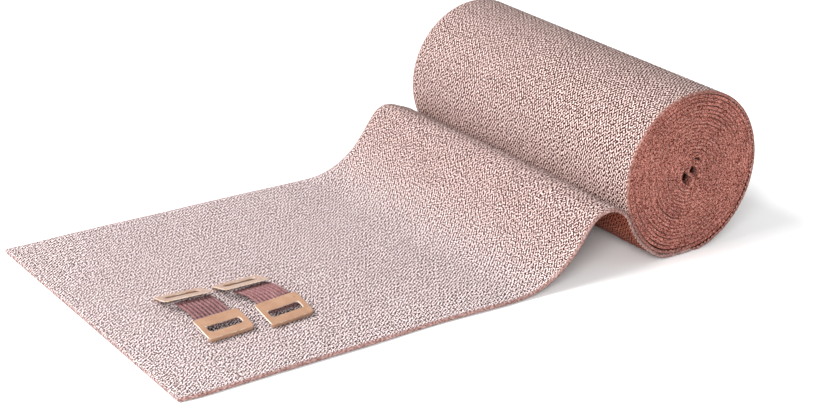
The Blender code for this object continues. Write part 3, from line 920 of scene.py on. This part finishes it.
def markEdgeHighlight(mesh):
    # a painted highlight, pale cream in specks, at the slot's rim and along the outer edges,
    # fainter underneath
    slotLength, slotWidth, _, shift = clip["slot"]
    edgeHighlight = mesh.attributes.new("edgeHighlight", "FLOAT", "POINT")
    for vertex, value in zip(mesh.vertices, edgeHighlight.data):
        u, v, w = vertex.co / mm
        rim = max(abs(u) - clip["length"] / 2, abs(v) - clip["width"] / 2)
        slotRim = max(abs(u - shift) - slotLength / 2, abs(v) - slotWidth / 2)
        onTop = 1.0 if w > -0.2 else 0.35
        share = max((rim + 0.25) / 0.3, (0.12 - slotRim) / 0.2)
        value.value = onTop * float(np.clip(share, 0.0, 1.0))


def makePlate(row, sheet):
    prong = clip["prong"]
    bm = bmesh.new()
    bm.from_mesh(sheet)
    for side in (-1, 1):
        prongV = side * (clip["width"] / 2 - prong["fromSide"])
        addProng(bm, clip["length"] / 2 - prong["fromEnd"], prongV)
    bmesh.ops.recalc_face_normals(bm, faces=bm.faces)
    mesh = bpy.data.meshes.new(row.node + "Stamped")
    bm.to_mesh(mesh)
    bm.free()
    markEdgeHighlight(mesh)
    tilt = (row.innerTop - row.outerTop) / clip["length"]
    turn = Euler((0.0, tilt, radians(row.turn) + (pi if row.side < 0 else 0.0)))
    height = (row.outerTop + row.innerTop) / 2
    place = Vector((row.middleX * mm, cutEndY + row.fromCut * mm, height * mm))
    mesh.transform(Matrix.Translation(place) @ turn.to_matrix().to_4x4())
    mesh.materials.append(plateLacquer)
    mesh.shade_smooth()
    mesh.update()
    addPiece(mesh, row.node)


def lacquerMaterial(look):
    material, shader, kit = newMaterial("plateLacquer", {
        "Coat Weight": 0.5, "Coat Roughness": 0.18})
    place = kit.add("ShaderNodeTexCoord", output="Object")
    edgeHighlight = kit.add("ShaderNodeAttribute", output="Fac", attribute_name="edgeHighlight")
    speck = kit.noise(place, 900.0, 3.0)
    # specks of painted highlight where the edge attribute is high
    highlightSpecks = kit.ranged(kit.math("MULTIPLY", speck, edgeHighlight), 0.24, 0.52, smooth=True)
    toned = kit.blend(
        kit.noise(place, 260.0, 2.0), fromScreen(look["deep"]), fromScreen(look["base"]))
    kit.fill(shader, {
        "Base Color": kit.blend(highlightSpecks, toned, fromScreen(look["edgeHighlight"])),
        "Roughness": kit.ranged(speck, 0.3, 0.7, 0.26, 0.44),
        "Normal": kit.bump(speck, 0.12, 0.1 * mm),
    })
    return material


bandRow = namedtuple("bandRow", "node rearX rearFromCut frontX frontFromCut height arch")
elastic = {
    "bands": (  # mm
        bandRow("clip_a_band", 9.8, 32.4, 28.6, 31.6, 3.1, 0.8),
        bandRow("clip_b_band", 11.6, 51.6, 30.6, 52.8, 3.1, 1.6),
    ),
    "cords": 9,
    "width": 12.0,
    "cordRadius": 0.46,
    "sections": 64,
    "wrapping": 0.1,  # how unevenly the wrapping thread stands out, mm
    "look": {"Light": (194, 146, 147), "Dark": (132, 86, 88), "Fleck": (222, 188, 187)},
}


def cordTree(material):
    # cords side by side along Y, each arched from the rear plate to the front one along X
    tree, inlet, outlet, kit = newTree("elasticCords", "GeometryNodeTree", {
        "Cords": 9, "Pitch": 0.00133, "Cord Radius": 0.00066, "Length": 0.019, "Arch": 0.001,
        "Sections": 64, "Wrapping": 0.00005, "Seed": 1,
    }, {"Geometry": "Geometry"})
    line = kit.add("GeometryNodeCurvePrimitiveLine", {"End": kit.combined(X=inlet["Length"])})
    line = kit.add("GeometryNodeResampleCurve", {"Curve": line, "Count": inlet["Sections"]})
    along = kit.add("GeometryNodeSplineParameter", output="Factor")
    rise = kit.math("MULTIPLY", kit.math("SINE", kit.math("MULTIPLY", along, pi)), inlet["Arch"])
    line = kit.add("GeometryNodeSetPosition", {"Geometry": line, "Offset": kit.combined(Z=rise)})
    profile = kit.add(
        "GeometryNodeCurvePrimitiveCircle", {"Radius": inlet["Cord Radius"], "Resolution": 10})
    cord = kit.add("GeometryNodeCurveToMesh", {
        "Curve": line, "Profile Curve": profile, "Fill Caps": True})
    span = kit.math("MULTIPLY", kit.math("SUBTRACT", inlet["Cords"], 1.0), inlet["Pitch"])
    row = kit.add("GeometryNodeMeshLine", {
        "Count": inlet["Cords"], "Offset": kit.combined(Y=inlet["Pitch"]),
        "Start Location": kit.combined(Y=kit.math("MULTIPLY", span, -0.5))})
    cords = kit.add("GeometryNodeInstanceOnPoints", {"Points": row, "Instance": cord})
    cords = kit.add("GeometryNodeRealizeInstances", {"Geometry": cords})
    # the wrapping thread makes the cords a little uneven
    wraps = kit.add("ShaderNodeTexNoise", {
        "Vector": kit.add("GeometryNodeInputPosition"), "W": inlet["Seed"],
        "Scale": 900.0, "Detail": 1.0}, noise_dimensions="4D")
    out = kit.math("MULTIPLY", kit.math("SUBTRACT", wraps, 0.5), inlet["Wrapping"])
    offset = kit.scaled(kit.add("GeometryNodeInputNormal"), out)
    cords = kit.add("GeometryNodeSetPosition", {"Geometry": cords, "Offset": offset})
    cords = kit.add("GeometryNodeSetShadeSmooth", {"Geometry": cords})
    cords = kit.add("GeometryNodeSetMaterial", {"Geometry": cords, "Material": material})
    kit.fill(outlet, {"Geometry": cords})
    return tree


def fromTree(name, tree, values):
    # runs a node tree once and keeps the plain mesh it makes
    holder = addObject(name + "Holder", bpy.data.meshes.new(name + "Holder"))
    modifier = holder.modifiers.new(name, "NODES")
    modifier.node_group = tree
    for item in tree.interface.items_tree:
        if item.in_out == "INPUT" and item.name in values:
            modifier[item.identifier] = values[item.name]
    made = holder.evaluated_get(bpy.context.evaluated_depsgraph_get())
    mesh = bpy.data.meshes.new_from_object(made)
    mesh.name = name
    holder.modifiers.remove(modifier)
    bpy.data.objects.remove(holder)
    return mesh


def makeBand(row, tree, seed):
    start = Vector((row.rearX, row.rearFromCut, row.height)) * mm
    end = Vector((row.frontX, row.frontFromCut, row.height)) * mm
    run = end - start
    mesh = fromTree(row.node + "Cords", tree, {
        "Cords": elastic["cords"],
        "Pitch": (elastic["width"] - 2 * elastic["cordRadius"]) / (elastic["cords"] - 1) * mm,
        "Cord Radius": elastic["cordRadius"] * mm,
        "Length": run.length,
        "Arch": row.arch * mm,
        "Sections": elastic["sections"],
        "Wrapping": elastic["wrapping"] * mm,
        "Seed": seed,
    })
    turn = np.arctan2(run.y, run.x)
    place = start + Vector((0.0, cutEndY, 0.0))
    mesh.transform(Matrix.Translation(place) @ Matrix.Rotation(turn, 4, "Z"))
    mesh.materials.clear()
    mesh.materials.append(elasticYarn)
    addPiece(mesh, row.node)


plateLacquer = lacquerMaterial(clip["lacquer"])
elasticYarn = yarnMaterial("elasticYarn", elastic["look"], 2600.0, 0.35, 0.1)
stamped = plateSheet()
for row in clip["plates"]:
    makePlate(row, stamped)
bandTree = cordTree(elasticYarn)
for seed, row in enumerate(elastic["bands"], 3):
    makeBand(row, bandTree, seed)
print("clips:", len(clip["plates"]), "plates and", len(elastic["bands"]), "elastic bands")


# camera, floor and light
view = {
    "fromAxis": (0.48748, -0.40750, 0.26053),  # camera from the point under the roll's middle
    "azimuth": 55.19,
    "elevation": 22.70,
    "lean": 0.76,
    "lens": 84.15,
}
studio = {
    "world": 0.57,
    "key": {"from": (-0.3, -0.9, 0.95), "size": 0.9, "watts": 32.0},
    "fill": {"from": (0.95, -0.8, 0.6), "size": 0.8, "watts": 20.0},
    "target": (0.0, 0.0, 0.01),
    "floorHalf": 6.0,
    "floorDrop": 0.0002,  # just clear of the cloth's underside
}


def placeCamera():
    azimuth, elevation = radians(view["azimuth"]), radians(view["elevation"])
    back = Vector((sin(azimuth) * cos(elevation), -cos(azimuth) * cos(elevation), sin(elevation)))
    right = (-back).cross(Vector((0, 0, 1))).normalized()
    up = back.cross(right)
    lean = radians(view["lean"])
    side = right * cos(lean) + up * sin(lean)
    upright = up * cos(lean) - right * sin(lean)
    data = bpy.data.cameras.new("camera")
    data.lens = view["lens"]
    data.sensor_width = 36
    camera = addObject("camera", data)
    place = Vector((rollMiddleX, rollAxisY, 0.0)) + Vector(view["fromAxis"])
    turn = Matrix((side, upright, back)).transposed().to_4x4()
    camera.matrix_world = Matrix.Translation(place) @ turn
    bpy.context.scene.camera = camera


def addLight(name):
    look = studio[name]
    data = bpy.data.lights.new(name, "AREA")
    data.shape = "DISK"
    data.size = look["size"]
    data.energy = look["watts"]
    light = addObject(name, data)
    light.location = Vector(studio["target"]) + Vector(look["from"])
    light.rotation_euler = (-Vector(look["from"])).to_track_quat("-Z", "Y").to_euler()


def makeStudio():
    floorMaterial, _, _ = newMaterial("paleFloor", {
        "Base Color": (0.94, 0.94, 0.94, 1.0), "Roughness": 0.9, "Specular IOR Level": 0.1})
    half = studio["floorHalf"]
    corners = [(-half, -half, 0), (half, -half, 0), (half, half, 0), (-half, half, 0)]
    floor = addObject("floor", newMesh("floor", corners, [(0, 1, 2, 3)], floorMaterial))
    floor.location.z = -studio["floorDrop"]
    world = bpy.data.worlds.new("paleWorld")
    world.use_nodes = True
    background = world.node_tree.nodes["Background"].inputs
    background["Color"].default_value = (1.0, 1.0, 1.0, 1.0)
    background["Strength"].default_value = studio["world"]
    bpy.context.scene.world = world
    addLight("key")
    addLight("fill")
    bpy.context.scene.view_settings.view_transform = "Standard"
    bpy.context.scene.view_settings.look = "None"


placeCamera()
makeStudio()
print("camera, floor and light in place")
